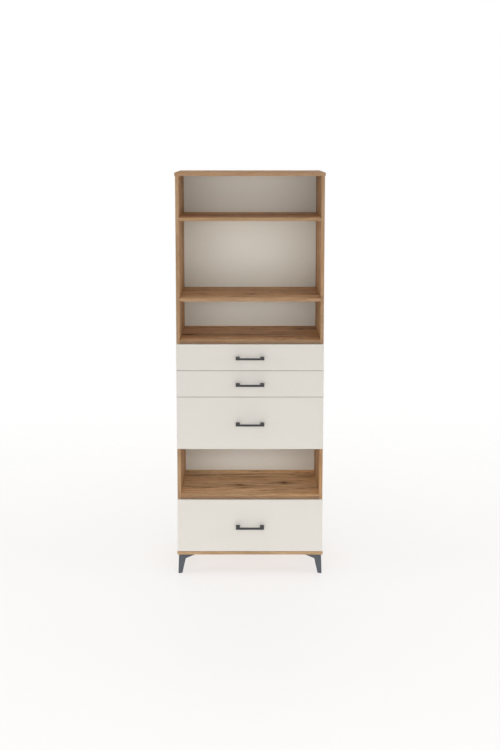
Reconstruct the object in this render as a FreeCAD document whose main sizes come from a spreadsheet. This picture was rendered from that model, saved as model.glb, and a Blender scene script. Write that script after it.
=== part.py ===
import FreeCAD, Part
import os
import Sketcher
from FreeCAD import Placement, Rotation, Vector

# Tall bookcase with an open upper section, three drawers, an open niche and a
# bottom drawer, on four splayed sheet-metal legs.
#
# Frame: millimetres, +Z up, the floor at Z = 0, the front towards -Y.  The
# origin is on the floor, at the middle of the width and of the overall depth
# (handles included).

doc = FreeCAD.newDocument("bookcase")

# ---------------------------------------------------------------------------
# Driving dimensions
# ---------------------------------------------------------------------------

ROWS = [
    ("board", 16.0, "thickness of the carcass boards and drawer fronts"),
    ("carcass_width", 720.0, "width over the two side panels"),
    ("overall_depth", 400.0, "depth of the top and bottom panels"),
    ("total_height", 2000.0, "floor to the top face"),
    ("leg_height", 100.0, "floor to the underside of the bottom panel"),
    ("side_overhang", 2.0, "top and bottom panels beyond each side panel"),
    ("front_setback", 18.0, "carcass front edges behind the drawer fronts' faces"),
    ("front_face", -180.0, "Y of the drawer fronts' faces"),
    ("edge_round", 0.8, "rounding of the board edges"),
    ("upper_shelf_level", 1767.0, "underside of the upper shelf"),
    ("middle_shelf_level", 1374.0, "underside of the middle shelf"),
    ("open_floor_level", 1166.0, "underside of the open section's floor"),
    ("niche_top_level", 643.0, "underside of the panel above the niche"),
    ("niche_floor_level", 382.0, "underside of the niche's floor"),
    ("shelf_side_play", 0.5, "gap at each end of a loose shelf"),
    ("back_thickness", 3.0, "thickness of the back panel"),
    ("back_inset", 9.0, "back panel's rear face to the carcass rear edge"),
    ("groove_depth", 6.3, "depth of the grooves that hold thin panels"),
    ("groove_play", 0.2, "play of a thin panel in its groove"),
    ("tongue", 6.0, "depth of a thin panel in its groove"),
    ("back_split_gap", 0.5, "gap between the two halves of the back panel"),
    # carcass joints
    ("joint_front", 60.0, "front fastener behind the carcass front edge"),
    ("joint_rear", 310.0, "rear fastener behind the carcass front edge"),
    ("joint_middle", 185.0, "dowel behind the carcass front edge"),
    ("cam_reach", 34.0, "cam axis from the end of its board"),
    ("cam_radius", 7.5, "cam housing"),
    ("cam_height", 12.4, "cam housing"),
    ("cam_bore", 4.0, "radius of the bore in the cam"),
    ("cam_hole", 7.6, "radius of the hole for a cam"),
    ("cam_hole_depth", 12.6, "depth of the hole for a cam"),
    ("cam_slot_width", 1.6, "screwdriver slot in the cam"),
    ("cam_slot_length", 9.0, "screwdriver slot in the cam"),
    ("cam_slot_depth", 1.6, "screwdriver slot in the cam"),
    ("bolt_thread", 2.45, "radius of the cam bolt's thread"),
    ("bolt_thread_length", 11.0, "cam bolt's thread"),
    ("bolt_shank", 3.4, "radius of the cam bolt's shank"),
    ("bolt_neck", 2.2, "radius of the cam bolt's neck"),
    ("bolt_length", 32.0, "cam bolt beyond its thread"),
    ("bolt_thread_hole", 2.55, "radius of the hole for the thread"),
    ("bolt_shank_hole", 4.0, "radius of the hole for the shank"),
    ("dowel_radius", 3.95, "wooden dowel"),
    ("dowel_hole", 4.05, "radius of a dowel's hole"),
    ("dowel_short", 10.0, "dowel in the board's face"),
    ("dowel_long", 20.0, "dowel in the board's end"),
    ("pin_radius", 2.45, "shelf pin"),
    ("pin_hole", 2.55, "radius of a shelf pin's hole"),
    ("pin_depth", 8.0, "shelf pin in the side panel"),
    ("pin_reach", 8.0, "shelf pin under the shelf"),
    ("pin_front", 40.0, "front pin behind the carcass front edge"),
    ("pin_rear", 320.0, "rear pin behind the carcass front edge"),
    ("nail_radius", 0.7, "back panel nail"),
    ("nail_hole", 0.8, "radius of a nail's hole"),
    ("nail_head", 2.5, "radius of a nail's head"),
    ("nail_head_height", 0.8, "nail's head"),
    ("nail_length", 20.0, "nail under its head"),
    ("nail_pitch", 160.0, "distance between nails in a row"),
    # legs
    ("leg_inset", 7.0, "leg's corner from the bottom panel's edges"),
    ("leg_splay", 3.2, "outward lean of the leg over its height"),
    ("leg_wall", 3.0, "sheet thickness of the leg"),
    ("leg_top", 86.0, "length of a leg's wing along the panel"),
    ("leg_knee", 35.0, "length of a wing at the knee"),
    ("leg_knee_drop", 22.0, "knee below the panel"),
    ("leg_foot", 20.0, "length of a wing at the floor"),
    ("leg_lift", 0.8, "wings' lowest corner above the floor"),
    ("leg_fold", 5.0, "outer radius of the leg's fold"),
    ("leg_plate", 70.0, "size of the leg's mounting plate"),
    ("leg_plate_end", 20.0, "width of the mounting plate's ends"),
    ("leg_cut", 2.8, "rise of the wing's bottom edge"),
    ("sole_level", 5.0, "underside of the leg's sole plate"),
    ("sole_size", 19.0, "size of the leg's sole plate"),
    ("glide_radius", 7.0, "foot glide"),
    ("glide_centre", 11.0, "foot glide's axis from the leg's corner"),
    ("leg_hole_near", 14.0, "leg screw from one wing"),
    ("leg_hole_far", 50.0, "leg screw from the other wing"),
    ("leg_hole_middle", 23.0, "leg screw nearest the corner"),
    # screws
    ("screw_shank", 1.6, "radius of a wood screw's shank"),
    ("screw_length", 12.0, "wood screw under its head"),
    ("screw_head", 3.4, "radius of a wood screw's head"),
    ("screw_head_height", 2.0, "wood screw's head"),
    ("screw_hole", 1.7, "radius of a wood screw's pilot hole"),
    ("screw_pass", 2.1, "radius of a hole that a wood screw passes"),
    ("screw_hole_depth", 11.5, "pilot hole in a side board"),
    ("leg_screw_hole_depth", 10.0, "pilot hole in the bottom panel"),
    # drawers
    ("drawer_board", 12.0, "thickness of the drawer box boards"),
    ("drawer_gap", 13.0, "drawer box to the side panel, for the runners"),
    ("drawer_depth", 350.0, "depth of the drawer box"),
    ("box_bottom_lift", 10.0, "drawer bottom's groove above the box's lower edge"),
    ("front_bottom_1", 1036.0, "lower edge of the first front"),
    ("front_height_1", 129.5, "height of the first front"),
    ("front_bottom_2", 904.7, "lower edge of the second front"),
    ("front_height_2", 129.3, "height of the second front"),
    ("front_bottom_3", 641.6, "lower edge of the third front"),
    ("front_height_3", 261.1, "height of the third front"),
    ("front_bottom_4", 117.5, "lower edge of the fourth front"),
    ("front_height_4", 264.0, "height of the fourth front"),
    ("box_bottom_1", 1052.0, "lower edge of the first drawer box"),
    ("box_bottom_2", 921.0, "lower edge of the second drawer box"),
    ("box_bottom_3", 668.0, "lower edge of the third drawer box"),
    ("box_bottom_4", 132.0, "lower edge of the fourth drawer box"),
    ("slim_box", 90.0, "height of a slim drawer box"),
    ("deep_box", 180.0, "height of a deep drawer box"),
    ("slim_rail", 45.0, "runner's axis above a slim box's lower edge"),
    ("deep_rail", 60.0, "runner's axis above a deep box's lower edge"),
    ("slim_low", 22.0, "lower fastener in a slim box"),
    ("slim_high", 72.0, "upper fastener in a slim box"),
    ("deep_low", 26.0, "lower fastener in a deep box"),
    ("deep_high", 145.0, "upper fastener in a deep box"),
    ("peg_radius", 2.95, "dowel between a front and a box side"),
    ("peg_hole", 3.05, "radius of its hole"),
    ("peg_in_front", 10.5, "dowel in the front"),
    ("peg_in_side", 25.0, "dowel in the box side"),
    ("peg_play", 0.5, "extra depth of the dowel's holes"),
    ("corner_shank", 2.5, "radius of a box corner screw"),
    ("corner_hole", 2.6, "radius of its hole"),
    ("corner_head", 3.9, "radius of its head"),
    ("corner_sink", 4.1, "radius of the sinking for its head"),
    ("corner_head_height", 3.0, "its head"),
    ("corner_length", 40.0, "its length, head included"),
    # runners
    ("rail_gauge", 1.2, "sheet thickness of the runners"),
    ("outer_height", 45.0, "cabinet rail"),
    ("outer_reach", 10.0, "cabinet rail's flange"),
    ("outer_length", 345.0, "cabinet rail"),
    ("outer_start", 3.0, "cabinet rail behind the carcass front edge"),
    ("outer_hole", 140.0, "cabinet rail's screws from its middle"),
    ("middle_height", 36.4, "middle rail"),
    ("middle_offset", 3.8, "middle rail's web from the side panel"),
    ("middle_reach", 7.2, "middle rail's flange"),
    ("middle_length", 340.0, "middle rail"),
    ("middle_start", 5.0, "middle rail behind the carcass front edge"),
    ("inner_height", 27.4, "drawer rail"),
    ("inner_reach", 7.0, "drawer rail's flange"),
    ("inner_length", 340.0, "drawer rail"),
    ("inner_start", 4.0, "drawer rail behind the carcass front edge"),
    ("inner_hole", 130.0, "drawer rail's screws from its middle"),
    # handles
    ("handle_length", 139.0, "overall length of a handle"),
    ("handle_reach", 40.0, "handle in front of its drawer front"),
    ("handle_bar", 8.6, "depth of the handle's bar"),
    ("handle_height", 8.8, "height of the handle"),
    ("handle_post", 19.5, "width of a handle's post"),
    ("handle_round", 2.0, "inner corners of the handle"),
    ("handle_edge", 0.8, "bevel of the handle's edges"),
    ("handle_screw", 2.0, "radius of a handle screw"),
    ("handle_screw_hole", 2.2, "radius of its hole"),
    ("handle_screw_head", 4.0, "radius of its head"),
    ("handle_screw_head_height", 2.4, "its head"),
    ("handle_screw_length", 22.0, "handle screw under its head"),
    ("handle_screw_well", 8.0, "depth of its hole in the post"),
]

sheet = doc.addObject("Spreadsheet::Sheet", "dims")
for row, (alias, value, note) in enumerate(ROWS, start=1):
    sheet.set("A%d" % row, note)
    sheet.set("B%d" % row, repr(value))
    sheet.setAlias("B%d" % row, alias)
doc.recompute()


class Size:
    """A length: the sheet expression that drives it, and its present value."""

    def __init__(self, text, value):
        self.text = text
        self.value = float(value)

    @staticmethod
    def of(other):
        if isinstance(other, Size):
            return other
        return Size("(%r)" % float(other), other)

    def __add__(self, other):
        other = Size.of(other)
        return Size("(%s + %s)" % (self.text, other.text), self.value + other.value)

    def __radd__(self, other):
        return Size.of(other) + self

    def __sub__(self, other):
        other = Size.of(other)
        return Size("(%s - %s)" % (self.text, other.text), self.value - other.value)

    def __rsub__(self, other):
        return Size.of(other) - self

    def __mul__(self, other):
        other = Size.of(other)
        return Size("(%s * %s)" % (self.text, other.text), self.value * other.value)

    def __rmul__(self, other):
        return Size.of(other) * self

    def __truediv__(self, other):
        other = Size.of(other)
        return Size("(%s / %s)" % (self.text, other.text), self.value / other.value)

    def __neg__(self):
        return Size("(0 - %s)" % self.text, -self.value)


class Sizes:
    pass


d = Sizes()
for alias, value, note in ROWS:
    setattr(d, alias, Size("dims." + alias, sheet.get(alias)))

ZERO = Size("(0)", 0.0)

# ---------------------------------------------------------------------------
# Helpers: bodies, profiles and features bound to the sheet
# ---------------------------------------------------------------------------


def bind(thing, path, size):
    thing.setExpression(path, Size.of(size).text)


def place(thing, x, y, z, turn=None):
    """Put a piece at (x, y, z), turned by the rotation given."""
    x, y, z = Size.of(x), Size.of(y), Size.of(z)
    thing.Placement = Placement(Vector(x.value, y.value, z.value), turn or Rotation())
    bind(thing, "Placement.Base.x", x)
    bind(thing, "Placement.Base.y", y)
    bind(thing, "Placement.Base.z", z)


def make_body(label):
    body = doc.addObject("PartDesign::Body", label)
    body.Label = label
    body.AllowCompound = True
    return body


def origin_item(body, role):
    return [f for f in body.Origin.OriginFeatures if f.Role == role][0]


class Profile:
    """A sketch on one of the body's own origin planes, every point dimensioned."""

    def __init__(self, body, name, role, offset=None):
        self.sketch = body.newObject("Sketcher::SketchObject", name)
        self.sketch.AttachmentSupport = [(origin_item(body, role), "")]
        self.sketch.MapMode = "FlatFace"
        if offset is not None:
            bind(self.sketch, "AttachmentOffset.Base.z", offset)

    def _constrain(self, plain, sized):
        if plain:
            self.sketch.addConstraint(plain)
        first = self.sketch.ConstraintCount
        self.sketch.addConstraint([c for c, size in sized])
        for i, (c, size) in enumerate(sized):
            self.sketch.setExpression("Constraints[%d]" % (first + i), size.text)

    def polygon(self, corners):
        corners = [(Size.of(x), Size.of(y)) for x, y in corners]
        first = self.sketch.GeometryCount
        n = len(corners)
        lines = []
        for i in range(n):
            a, b = corners[i], corners[(i + 1) % n]
            lines.append(Part.LineSegment(Vector(a[0].value, a[1].value, 0),
                                          Vector(b[0].value, b[1].value, 0)))
        self.sketch.addGeometry(lines, False)
        plain = [Sketcher.Constraint("Coincident", first + i, 2, first + (i + 1) % n, 1)
                 for i in range(n)]
        sized = []
        for i, (x, y) in enumerate(corners):
            sized.append((Sketcher.Constraint("DistanceX", -1, 1, first + i, 1, x.value), x))
            sized.append((Sketcher.Constraint("DistanceY", -1, 1, first + i, 1, y.value), y))
        self._constrain(plain, sized)
        return self

    def rectangle(self, x0, y0, x1, y1):
        return self.polygon([(x0, y0), (x1, y0), (x1, y1), (x0, y1)])

    def circles(self, centres, radius):
        for x, y in centres:
            x, y = Size.of(x), Size.of(y)
            index = self.sketch.GeometryCount
            self.sketch.addGeometry(Part.Circle(Vector(x.value, y.value, 0),
                                                Vector(0, 0, 1), radius.value), False)
            self._constrain([], [
                (Sketcher.Constraint("DistanceX", -1, 1, index, 3, x.value), x),
                (Sketcher.Constraint("DistanceY", -1, 1, index, 3, y.value), y),
                (Sketcher.Constraint("Radius", index, radius.value), radius)])
        return self


def pad(body, profile, length, reverse=False):
    feature = body.newObject("PartDesign::Pad", "Pad")
    feature.Profile = profile.sketch
    bind(feature, "Length", length)
    feature.Reversed = reverse
    return feature


def pocket(body, profile, depth, reverse=False):
    doc.recompute()
    before = body.Shape.Volume
    feature = body.newObject("PartDesign::Pocket", "Pocket")
    feature.Profile = profile.sketch
    bind(feature, "Length", depth)
    feature.Reversed = reverse
    doc.recompute()
    if not body.Shape.Volume < before - 0.01:
        raise RuntimeError("a pocket in %s cuts nothing" % body.Label)
    return feature


def round_edges(body, radius, wanted):
    """Round those edges of the body so far whose middle point is wanted."""
    doc.recompute()
    base = body.Tip
    names = []
    for i, edge in enumerate(base.Shape.Edges, start=1):
        a, b = edge.BoundBox, edge.CenterOfMass
        if wanted(b, a):
            names.append("Edge%d" % i)
    feature = body.newObject("PartDesign::Fillet", "Rounding")
    feature.Base = (base, names)
    bind(feature, "Radius", radius)
    doc.recompute()
    return feature


def revolve(body, corners):
    """A turned piece about its own Z axis, from a half section (radius, height)."""
    profile = Profile(body, "HalfSection", "XZ_Plane").polygon(corners)
    feature = body.newObject("PartDesign::Revolution", "Turned")
    feature.Profile = profile.sketch
    feature.ReferenceAxis = (profile.sketch, ["V_Axis"])
    feature.Angle = 360
    return feature


def axes(x_axis, z_axis):
    """The rotation that takes a piece's own X and Z to these directions."""
    x_axis, z_axis = Vector(*x_axis), Vector(*z_axis)
    return Rotation(x_axis, z_axis.cross(x_axis), z_axis, "ZXY")


def aim(z_axis):
    """The rotation that takes a turned piece's own Z to this direction."""
    return Rotation(Vector(0, 0, 1), Vector(*z_axis))


def group(label, placed):
    """One named group of separate solids: copies of master pieces, placed."""
    copies = []
    for master, x, y, z, turn in placed:
        copy = doc.addObject("App::Link", label + "_copy")
        copy.LinkedObject = master
        place(copy, x, y, z, turn)
        copies.append(copy)
    bundle = doc.addObject("Part::Compound", label)
    bundle.Label = label
    bundle.Links = copies
    return bundle


nodes = []


def node(thing):
    nodes.append(thing)
    return thing


# ---------------------------------------------------------------------------
# Derived places
# ---------------------------------------------------------------------------

half = d.carcass_width / 2
inside = half - d.board                          # inner face of a side panel
edge = d.front_face + d.front_setback            # carcass front edge
rear = d.front_face + d.overall_depth            # carcass rear edge
back_face = rear - d.back_inset - d.back_thickness
fixed_depth = back_face - edge                   # fixed boards reach the back panel
side_depth = rear - edge
side_bottom = d.leg_height + d.board
side_top = d.total_height - d.board
side_height = side_top - side_bottom
front_back = d.front_face + d.board              # rear face of a drawer front
box_half = inside - d.drawer_gap                 # outer face of a drawer box
box_inner = box_half - d.drawer_board

fixed_boards = [d.open_floor_level, d.niche_top_level, d.niche_floor_level]
loose_shelves = [d.upper_shelf_level, d.middle_shelf_level]


class DrawerSizes:
    def __init__(self, number, front_bottom, front_height, box_bottom, box, rail, low, high):
        self.number = number
        self.front_bottom = front_bottom
        self.front_height = front_height
        self.box_bottom = box_bottom
        self.box = box
        self.rail = rail
        self.low = low
        self.high = high
        self.axis = box_bottom + rail
        self.handle = front_bottom + front_height / 2


drawers = [
    DrawerSizes(1, d.front_bottom_1, d.front_height_1, d.box_bottom_1,
                d.slim_box, d.slim_rail, d.slim_low, d.slim_high),
    DrawerSizes(2, d.front_bottom_2, d.front_height_2, d.box_bottom_2,
                d.slim_box, d.slim_rail, d.slim_low, d.slim_high),
    DrawerSizes(3, d.front_bottom_3, d.front_height_3, d.box_bottom_3,
                d.deep_box, d.deep_rail, d.deep_low, d.deep_high),
    DrawerSizes(4, d.front_bottom_4, d.front_height_4, d.box_bottom_4,
                d.deep_box, d.deep_rail, d.deep_low, d.deep_high),
]

outer_middle = d.outer_start + d.outer_length / 2
inner_middle = d.inner_start + d.inner_length / 2

# ---------------------------------------------------------------------------
# Side panels: board, groove for the back panel, drillings in the inner face
# and in both ends
# ---------------------------------------------------------------------------


def side_panel(label, left):
    body = make_body(label)
    pad(body, Profile(body, "Outline", "YZ_Plane").rectangle(0, 0, side_depth, side_height), d.board)
    round_edges(body, d.edge_round,
                lambda m, b: abs(m.y) < 0.01 and b.ZLength > 100)
    face = d.board if left else ZERO
    turn = not left

    def drill(name, places, radius, depth):
        pocket(body, Profile(body, name, "YZ_Plane", face).circles(places, radius), depth, turn)

    pocket(body, Profile(body, "BackGroove", "YZ_Plane", face).rectangle(
        fixed_depth - d.groove_play, 0,
        fixed_depth + d.back_thickness + d.groove_play, side_height), d.groove_depth, turn)
    middles = [level + d.board / 2 - side_bottom for level in fixed_boards]
    drill("BoltHoles", [(y, z) for z in middles for y in (d.joint_front, d.joint_rear)],
          d.bolt_thread_hole, d.bolt_thread_length + 0.5)
    drill("DowelHoles", [(d.joint_middle, z) for z in middles],
          d.dowel_hole, d.dowel_short + 0.5)
    drill("PinHoles", [(y, level - d.pin_radius - 0.05 - side_bottom)
                       for level in loose_shelves for y in (d.pin_front, d.pin_rear)],
          d.pin_hole, d.pin_depth + 0.5)
    drill("RailHoles", [(outer_middle + sign * d.outer_hole, dr.axis - side_bottom)
                        for dr in drawers for sign in (-1, 1)],
          d.screw_hole, d.screw_hole_depth)
    drill("CamHoles", [(y, z) for y in (d.joint_front, d.joint_rear)
                       for z in (d.cam_reach, side_height - d.cam_reach)],
          d.cam_hole, d.cam_hole_depth)
    for name, offset, up in (("LowerEnd", ZERO, True), ("UpperEnd", side_height, False)):
        pocket(body, Profile(body, name + "Bolts", "XY_Plane", offset).circles(
            [(d.board / 2, d.joint_front), (d.board / 2, d.joint_rear)],
            d.bolt_shank_hole), d.cam_reach, up)
        pocket(body, Profile(body, name + "Dowel", "XY_Plane", offset).circles(
            [(d.board / 2, d.joint_middle)], d.dowel_hole), d.dowel_long + 0.5, up)
    place(body, -half if left else inside, edge, side_bottom)
    return node(body)


side_panel("left_side_panel", True)
side_panel("right_side_panel", False)

# ---------------------------------------------------------------------------
# Top and bottom panels: as deep as the drawer fronts, a little wider than the
# carcass, grooved for the back panel
# ---------------------------------------------------------------------------

cap_half = half + d.side_overhang
leg_holes = [(d.leg_hole_near, d.leg_hole_far), (d.leg_hole_far, d.leg_hole_near),
             (d.leg_hole_middle, d.leg_hole_middle)]


def cap_panel(label, level, top):
    body = make_body(label)
    pad(body, Profile(body, "Outline", "XY_Plane").rectangle(
        0, 0, cap_half * 2, d.overall_depth), d.board)
    round_edges(body, d.edge_round, lambda m, b: True)
    face = ZERO if top else d.board

    def cut(name, draw, depth):
        profile = Profile(body, name, "XY_Plane", face)
        draw(profile)
        pocket(body, profile, depth, top)

    groove_front = back_face - d.front_face - d.groove_play
    groove_rear = groove_front + d.back_thickness + 2 * d.groove_play
    cut("BackGroove", lambda p: p.rectangle(
        cap_half - inside - d.groove_depth, groove_front,
        cap_half + inside + d.groove_depth, groove_rear), d.groove_depth)
    columns = (cap_half - half + d.board / 2, cap_half + half - d.board / 2)
    cut("BoltHoles", lambda p: p.circles(
        [(x, d.front_setback + y) for x in columns for y in (d.joint_front, d.joint_rear)],
        d.bolt_thread_hole), d.bolt_thread_length + 0.5)
    cut("DowelHoles", lambda p: p.circles(
        [(x, d.front_setback + d.joint_middle) for x in columns],
        d.dowel_hole), d.dowel_short + 0.5)
    if not top:
        places = []
        for a, b in leg_holes:
            for x in (d.leg_inset + a, cap_half * 2 - d.leg_inset - a):
                for y in (d.leg_inset + b, d.overall_depth - d.leg_inset - b):
                    places.append((x, y))
        pocket(body, Profile(body, "LegHoles", "XY_Plane").circles(places, d.screw_hole),
               d.leg_screw_hole_depth, True)
    place(body, -cap_half, d.front_face, level)
    return node(body)


cap_panel("top_panel", side_top, True)
cap_panel("bottom_panel", d.leg_height, False)

# ---------------------------------------------------------------------------
# Loose shelves on pins
# ---------------------------------------------------------------------------


def loose_shelf(label, level):
    body = make_body(label)
    width = (inside - d.shelf_side_play) * 2
    pad(body, Profile(body, "Outline", "XY_Plane").rectangle(
        0, 0, width, fixed_depth - 0.5), d.board)
    round_edges(body, d.edge_round, lambda m, b: abs(m.y) < 0.01 and b.XLength > 100)
    place(body, -(inside - d.shelf_side_play), edge, level)
    return node(body)


loose_shelf("upper_shelf", d.upper_shelf_level)
loose_shelf("middle_shelf", d.middle_shelf_level)

# ---------------------------------------------------------------------------
# Fixed boards between the side panels: cams in the underside, bolt and dowel
# holes in both ends, nail holes in the rear edge
# ---------------------------------------------------------------------------

nail_columns = [inside + k * d.nail_pitch for k in (-2, -1, 0, 1, 2)]


def fixed_board(label, level, nail_heights):
    body = make_body(label)
    width = inside * 2
    pad(body, Profile(body, "Outline", "XY_Plane").rectangle(0, 0, width, fixed_depth), d.board)
    round_edges(body, d.edge_round, lambda m, b: abs(m.y) < 0.01 and b.XLength > 100)
    pocket(body, Profile(body, "CamHoles", "XY_Plane").circles(
        [(x, y) for x in (d.cam_reach, width - d.cam_reach)
         for y in (d.joint_front, d.joint_rear)], d.cam_hole), d.cam_hole_depth, True)
    for name, offset, inwards in (("LeftEnd", ZERO, True), ("RightEnd", width, False)):
        pocket(body, Profile(body, name + "Bolts", "YZ_Plane", offset).circles(
            [(d.joint_front, d.board / 2), (d.joint_rear, d.board / 2)],
            d.bolt_shank_hole), d.cam_reach, inwards)
        pocket(body, Profile(body, name + "Dowel", "YZ_Plane", offset).circles(
            [(d.joint_middle, d.board / 2)], d.dowel_hole), d.dowel_long + 0.5, inwards)
    pocket(body, Profile(body, "NailHoles", "XZ_Plane", -fixed_depth).circles(
        [(x, z) for x in nail_columns for z in nail_heights], d.nail_hole),
        d.nail_length - d.back_thickness + 0.5, True)
    place(body, -inside, edge, level)
    return node(body)


split = d.open_floor_level + d.board / 2
split_low = d.board / 4
split_high = d.board * 3 / 4
fixed_board("open_section_floor", d.open_floor_level, [split_low, split_high])
fixed_board("niche_top_panel", d.niche_top_level, [d.board / 2])
fixed_board("niche_floor_panel", d.niche_floor_level, [d.board / 2])

# ---------------------------------------------------------------------------
# Back panel in two halves, which meet behind the open section's floor
# ---------------------------------------------------------------------------


def back_panel(label, bottom, top, nail_levels):
    body = make_body(label)
    reach = inside + d.tongue
    pad(body, Profile(body, "Outline", "XZ_Plane").rectangle(0, 0, reach * 2, top - bottom),
        d.back_thickness, True)
    pocket(body, Profile(body, "NailHoles", "XZ_Plane").circles(
        [(x + d.tongue, z - bottom) for x in nail_columns for z in nail_levels],
        d.nail_hole), d.back_thickness, False)
    place(body, -reach, back_face, bottom)
    return node(body)


back_panel("upper_back_panel", split + d.back_split_gap / 2, side_top + d.tongue,
           [d.open_floor_level + split_high])
back_panel("lower_back_panel", side_bottom - d.tongue, split - d.back_split_gap / 2,
           [d.open_floor_level + split_low, d.niche_top_level + d.board / 2,
            d.niche_floor_level + d.board / 2])

# ---------------------------------------------------------------------------
# Legs: folded sheet with two tapering, splayed wings, a mounting plate on top
# and a sole plate.  The leg's own frame has its corner at the origin, its two
# wings along +X and +Y, and the panel's underside at Z = 0.
# ---------------------------------------------------------------------------


def leg(label, x, y, turn):
    body = make_body(label)
    drop = d.leg_height - d.leg_lift

    def section(name, depth, reach):
        lean = -(d.leg_splay * depth / d.leg_height)
        wall = d.leg_wall
        return Profile(body, name, "XY_Plane", -depth).polygon([
            (lean, lean), (lean + reach, lean), (lean + reach, lean + wall),
            (lean + wall, lean + wall), (lean + wall, lean + reach), (lean, lean + reach)])

    top = section("TopSection", ZERO, d.leg_top)
    knee = section("KneeSection", d.leg_knee_drop, d.leg_knee)
    foot = section("FootSection", drop, d.leg_foot)
    wings = body.newObject("PartDesign::AdditiveLoft", "Wings")
    wings.Profile = top.sketch
    wings.Sections = [knee.sketch, foot.sketch]
    wings.Ruled = True
    doc.recompute()
    # mounting plate under the bottom panel
    pad(body, Profile(body, "MountingPlate", "XY_Plane").polygon([
        (d.leg_wall / 2, d.leg_wall / 2), (d.leg_plate, d.leg_wall / 2),
        (d.leg_plate, d.leg_plate_end), (d.leg_plate_end, d.leg_plate),
        (d.leg_wall / 2, d.leg_plate)]), d.leg_wall, True)
    doc.recompute()
    # sole plate between the wings at the foot
    sole_depth = d.leg_height - d.sole_level
    lean = -(d.leg_splay * sole_depth / d.leg_height)
    near = lean + d.leg_wall / 2
    far = lean + d.sole_size
    pad(body, Profile(body, "SolePlate", "XY_Plane", -sole_depth).polygon([
        (near, near), (far, near), (far, near + 8), (near + 8, far), (near, far)]), d.leg_wall, False)
    doc.recompute()
    # the wings' lower edges rise away from the corner
    low = -drop - 1
    base = -(d.leg_splay)
    pocket(body, Profile(body, "FrontWingEnd", "XZ_Plane", d.leg_foot).polygon([
        (base - 2, low), (base + d.leg_foot + 2, low),
        (base + d.leg_foot + 2, -drop + d.leg_cut), (base - 2, -drop - 0.2)]),
        d.leg_foot + d.leg_wall, False)
    pocket(body, Profile(body, "SideWingEnd", "YZ_Plane", -d.leg_foot).polygon([
        (base - 2, low), (base + d.leg_foot + 2, low),
        (base + d.leg_foot + 2, -drop + d.leg_cut), (base - 2, -drop - 0.2)]),
        d.leg_foot + d.leg_wall, True)
    pocket(body, Profile(body, "ScrewHoles", "XY_Plane").circles(leg_holes, d.screw_pass),
           d.leg_wall + 1, False)
    # the fold along the leg's corner
    round_edges(body, d.leg_fold,
                lambda m, b: b.ZLength > 60 and abs(m.x - m.y) < 0.01 and m.x < 0)
    place(body, x, y, d.leg_height, turn)
    return node(body)


corner_x = cap_half - d.leg_inset
corner_front = d.front_face + d.leg_inset
corner_rear = rear - d.leg_inset
leg_places = [
    ("front_left_leg", -corner_x, corner_front, Rotation(Vector(0, 0, 1), 0), 1, 1),
    ("front_right_leg", corner_x, corner_front, Rotation(Vector(0, 0, 1), 90), -1, 1),
    ("rear_right_leg", corner_x, corner_rear, Rotation(Vector(0, 0, 1), 180), -1, -1),
    ("rear_left_leg", -corner_x, corner_rear, Rotation(Vector(0, 0, 1), 270), 1, -1),
]
for label, x, y, turn, sx, sy in leg_places:
    leg(label, x, y, turn)

# foot glides under the sole plates
glide = make_body("glide_master")
revolve(glide, [(0, 0), (d.glide_radius - 1, 0), (d.glide_radius, 1),
                (d.glide_radius, d.sole_level), (0, d.sole_level)])
glide_out = d.glide_centre - d.leg_splay
node(group("foot_glides", [
    (glide, x + sx * glide_out, y + sy * glide_out, ZERO, Rotation())
    for label, x, y, turn, sx, sy in leg_places]))

# ---------------------------------------------------------------------------
# Carcass fasteners
# ---------------------------------------------------------------------------

# cam: housing with a radial bore towards its own +X and a cross slot
cam = make_body("cam_master")
pad(cam, Profile(cam, "Housing", "XY_Plane").circles([(ZERO, ZERO)], d.cam_radius), d.cam_height)
pocket(cam, Profile(cam, "BoltBore", "YZ_Plane").circles(
    [(ZERO, d.board / 2 - 0.1)], d.cam_bore), d.cam_radius + 1, True)
for name, long_x in (("SlotAlong", True), ("SlotAcross", False)):
    a = d.cam_slot_length / 2 if long_x else d.cam_slot_width / 2
    b = d.cam_slot_width / 2 if long_x else d.cam_slot_length / 2
    pocket(cam, Profile(cam, name, "XY_Plane").rectangle(-a, -b, a, b), d.cam_slot_depth, True)

# cam bolt: thread below zero, shank with a neck and a head above
bolt = make_body("bolt_master")
revolve(bolt, [(0, -d.bolt_thread_length), (d.bolt_thread, -d.bolt_thread_length),
               (d.bolt_thread, 0), (d.bolt_shank, 0), (d.bolt_shank, d.bolt_length - 8),
               (d.bolt_neck, d.bolt_length - 7), (d.bolt_neck, d.bolt_length - 3),
               (d.bolt_shank, d.bolt_length - 2), (d.bolt_shank, d.bolt_length),
               (0, d.bolt_length)])

# wooden dowel with bevelled ends
dowel = make_body("dowel_master")
revolve(dowel, [(0, -d.dowel_short), (d.dowel_radius - 1, -d.dowel_short),
                (d.dowel_radius, -d.dowel_short + 1), (d.dowel_radius, d.dowel_long - 1),
                (d.dowel_radius - 1, d.dowel_long), (0, d.dowel_long)])

cams, bolts, dowels = [], [], []
rows = (edge + d.joint_front, edge + d.joint_rear)
middle_row = edge + d.joint_middle
for level in fixed_boards:
    for sign in (-1, 1):
        for y in rows:
            cams.append((cam, sign * (inside - d.cam_reach), y, level + 0.1,
                         axes((sign, 0, 0), (0, 0, 1))))
            bolts.append((bolt, sign * inside, y, level + d.board / 2, aim((-sign, 0, 0))))
        dowels.append((dowel, sign * inside, middle_row, level + d.board / 2, aim((-sign, 0, 0))))
for sign in (-1, 1):
    board_middle = sign * (half - d.board / 2)
    for level, up in ((side_top, 1), (side_bottom, -1)):
        for y in rows:
            cams.append((cam, sign * (inside + 0.1), y, level - up * d.cam_reach,
                         axes((0, 0, up), (sign, 0, 0))))
            bolts.append((bolt, board_middle, y, level, aim((0, 0, -up))))
        dowels.append((dowel, board_middle, middle_row, level, aim((0, 0, -up))))
node(group("cam_locks", cams))
node(group("cam_bolts", bolts))
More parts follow.
